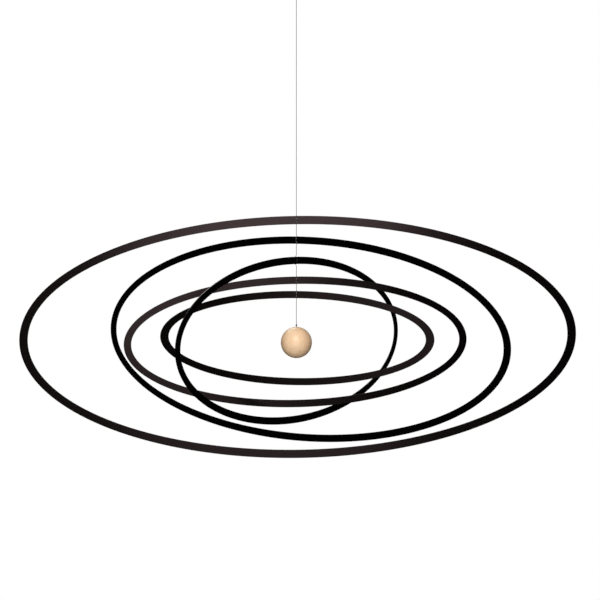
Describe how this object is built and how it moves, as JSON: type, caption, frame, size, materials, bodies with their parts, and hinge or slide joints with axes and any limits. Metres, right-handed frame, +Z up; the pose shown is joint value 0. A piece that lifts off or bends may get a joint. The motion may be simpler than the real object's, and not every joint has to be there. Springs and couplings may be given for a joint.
{
  "type": "hanging mobile",
  "caption": "Hanging mobile of thin black elliptical rings, one inside the next, round a pale wooden ball, all on one thread so that each ring turns by itself.",
  "frame": {"origin": "inside top of the tied loop at the upper end of the thread, where a ceiling hook holds the mobile", "axes": "+Z up along the thread, +X along the outermost ring, -Y to the front"},
  "size_m": [0.8014, 0.5102, 0.7004],
  "materials": {
    "stained_sheet": "thin sheet stained black, satin",
    "ball_wood": "turned and sanded beech, waxed",
    "thread": "dark grey nylon thread"
  },
  "bodies": {
    "root": {"hanging_loop": "thread", "hanging_thread": "thread"},
    "ring_1": {"ring_1": "stained_sheet", "ring_1_thread": "thread"},
    "ring_2": {"ring_2": "stained_sheet", "ring_2_thread": "thread"},
    "ring_3": {"ring_3": "stained_sheet", "ring_3_thread": "thread"},
    "ring_4": {"ring_4": "stained_sheet", "ring_4_thread": "thread"},
    "ring_5": {"ring_5": "stained_sheet", "ring_5_thread": "thread"},
    "ball": {"ball": "ball_wood", "ball_thread": "thread"}
  },
  "joints": [
    {"name": "ring_1_turn", "type": "hinge", "parent": "root", "child": "ring_1", "pos_m": [0, 0, -0.3457], "axis": [0, 0, 1], "continuous": true},
    {"name": "ring_2_turn", "type": "hinge", "parent": "ring_1", "child": "ring_2", "pos_m": [0, 0, -0.3751], "axis": [0, 0, 1], "continuous": true},
    {"name": "ring_3_turn", "type": "hinge", "parent": "ring_2", "child": "ring_3", "pos_m": [0, 0, -0.4042], "axis": [0, 0, 1], "continuous": true},
    {"name": "ring_4_turn", "type": "hinge", "parent": "ring_3", "child": "ring_4", "pos_m": [0, 0, -0.4327], "axis": [0, 0, 1], "continuous": true},
    {"name": "ring_5_turn", "type": "hinge", "parent": "ring_4", "child": "ring_5", "pos_m": [0, 0, -0.4535], "axis": [0, 0, 1], "continuous": true},
    {"name": "ball_turn", "type": "hinge", "parent": "ring_5", "child": "ball", "pos_m": [0, 0, -0.5016], "axis": [0, 0, 1], "continuous": true}
  ]
}
